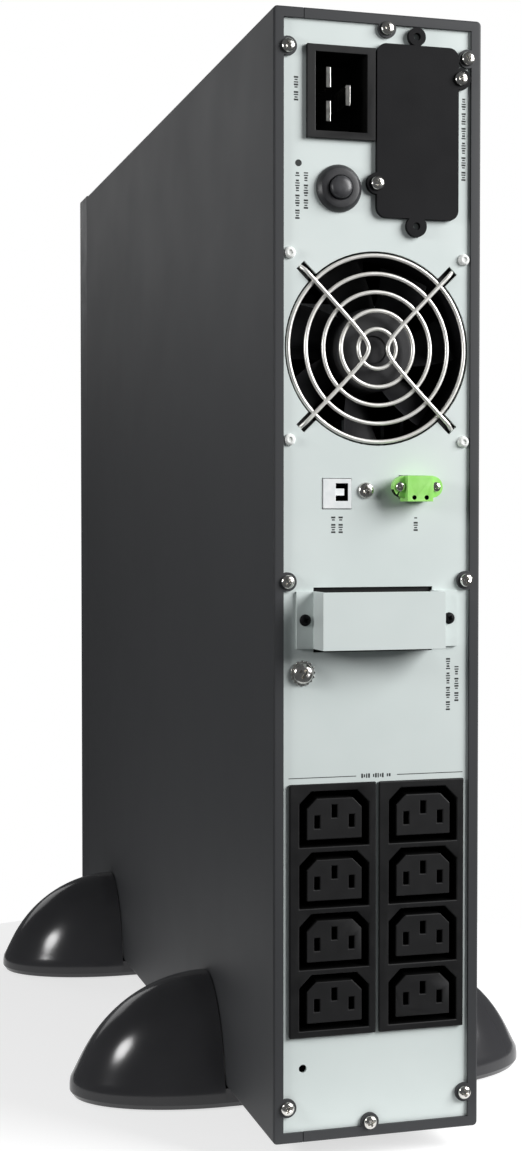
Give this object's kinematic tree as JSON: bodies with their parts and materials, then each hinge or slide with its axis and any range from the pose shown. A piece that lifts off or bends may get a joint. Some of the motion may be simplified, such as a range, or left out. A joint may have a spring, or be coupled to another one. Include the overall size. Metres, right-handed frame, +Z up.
{
  "type": "rackmount ups",
  "caption": "Two-unit rack or tower uninterruptible power supply on half-dome feet, with inlet, outlets, guarded fan and slide-out battery pack.",
  "frame": {"origin": "on the floor, under the centre of the bounding box", "axes": "+Z up, the rear panel faces -Y, the front bezel faces +Y, +X to the right as the rear panel is seen"},
  "size_m": [0.2088, 0.4474, 0.447],
  "materials": {
    "case_paint": "fine satin powder coat, charcoal",
    "panel_paint": "smooth satin paint, pale grey green",
    "black_sheet": "matte black powder coat",
    "screw_steel": "nickel plated",
    "guard_wire": "bright plated wire",
    "rivet_white": "white nylon",
    "black_plastic": "fine moulded texture",
    "black_gloss": "polished moulding",
    "breaker_plastic": "moulded thermoset",
    "contact_brass": "tinned spring brass",
    "usb_white": "white moulding",
    "green_plastic": "green terminal block moulding",
    "circuit_board": "glass laminate with solder resist",
    "aluminium": "extruded, plain",
    "component_black": "moulded packages",
    "capacitor_sleeve": "shrunk sleeve",
    "ferrite": "ferrite and enamelled winding",
    "battery_case": "moulded case",
    "zinc_sheet": "zinc plated sheet",
    "copper_lead": "insulated lead",
    "bezel_plastic": "fine moulded texture",
    "display_window": "tinted window",
    "rubber": "moulded",
    "bearing_bronze": "sintered bronze"
  },
  "bodies": {
    "root": {"base_tray": "case_paint", "battery_port_cover": "panel_paint", "board_standoffs": "zinc_sheet", "breaker_body": "breaker_plastic", "breaker_nut": "breaker_plastic", "bus_capacitors": "capacitor_sleeve", "card_guides": "black_plastic", "epo_header": "green_plastic", "external_battery_connector": "black_plastic", "fan_bearing": "bearing_bronze", "fan_frame": "black_plastic", "fan_rivets": "rivet_white", "fan_stator": "ferrite", "filter_choke": "ferrite", "finger_guard": "guard_wire", "foot_front_left": "black_gloss", "foot_front_right": "black_gloss", "foot_pads": "rubber", "foot_rear_left": "black_gloss", "foot_rear_right": "black_gloss", "front_bezel": "bezel_plastic", "ground_screw": "screw_steel", "heat_sink_lower": "aluminium", "heat_sink_upper": "aluminium", "inlet_body": "black_plastic", "inlet_pins": "screw_steel", "internal_leads": "copper_lead", "main_board": "circuit_board", "outlet_block_left": "black_plastic", "outlet_block_right": "black_plastic", "outlet_contacts": "contact_brass", "panel_screws": "screw_steel", "port_cover_screws": "black_sheet", "power_transistors": "component_black", "rack_ear_nuts": "screw_steel", "rear_panel": "panel_paint", "relays": "component_black", "rim_screws": "screw_steel", "slot_cover": "black_sheet", "top_cover": "case_paint", "transformer": "ferrite", "usb_port": "usb_white"},
    "fan_rotor": {"fan_rotor": "black_plastic"},
    "breaker_button": {"breaker_button": "breaker_plastic"},
    "epo_plug": {"epo_plug": "green_plastic", "epo_plug_screws": "screw_steel"},
    "display": {"display_frame": "bezel_plastic", "display_lens": "display_window", "display_board": "circuit_board"},
    "power_button": {"power_button": "bezel_plastic"},
    "select_button": {"select_button": "bezel_plastic"},
    "enter_button": {"enter_button": "bezel_plastic"},
    "battery_door": {"battery_door": "bezel_plastic"},
    "battery_pack": {"battery_tray": "zinc_sheet", "battery_1": "battery_case", "battery_2": "battery_case", "battery_3": "battery_case", "battery_4": "battery_case", "battery_terminals": "contact_brass", "battery_leads": "copper_lead"}
  },
  "joints": [
    {"name": "fan_spin", "type": "hinge", "parent": "root", "child": "fan_rotor", "pos_m": [0, -0.19505, 0.3179], "axis": [0, 1, 0], "continuous": true},
    {"name": "breaker_trip", "type": "slide", "parent": "root", "child": "breaker_button", "axis": [0, -1, 0], "range_m": [0, 0.004]},
    {"name": "epo_plug_pull", "type": "slide", "parent": "root", "child": "epo_plug", "axis": [0, -1, 0], "range_m": [0, 0.014]},
    {"name": "display_turn", "type": "hinge", "parent": "root", "child": "display", "pos_m": [0, 0.20875, 0.387], "axis": [0, 1, 0], "range_deg": [0, 90]},
    {"name": "power_button_press", "type": "slide", "parent": "display", "child": "power_button", "axis": [0, -1, 0], "range_m": [0, 0.001], "stiffness_N_per_m": 400},
    {"name": "select_button_press", "type": "slide", "parent": "display", "child": "select_button", "axis": [0, -1, 0], "range_m": [0, 0.001], "stiffness_N_per_m": 400},
    {"name": "enter_button_press", "type": "slide", "parent": "display", "child": "enter_button", "axis": [0, -1, 0], "range_m": [0, 0.001], "stiffness_N_per_m": 400},
    {"name": "battery_slide", "type": "slide", "parent": "root", "child": "battery_pack", "axis": [0, 1, 0], "range_m": [0, 0.2]},
    {"name": "battery_door_pull", "type": "slide", "parent": "root", "child": "battery_door", "axis": [0, 1, 0], "range_m": [0, 0.216]}
  ],
  "couplings": [
    {"joint": "battery_door_pull", "follows": "battery_slide", "ratio": 1.07}
  ]
}
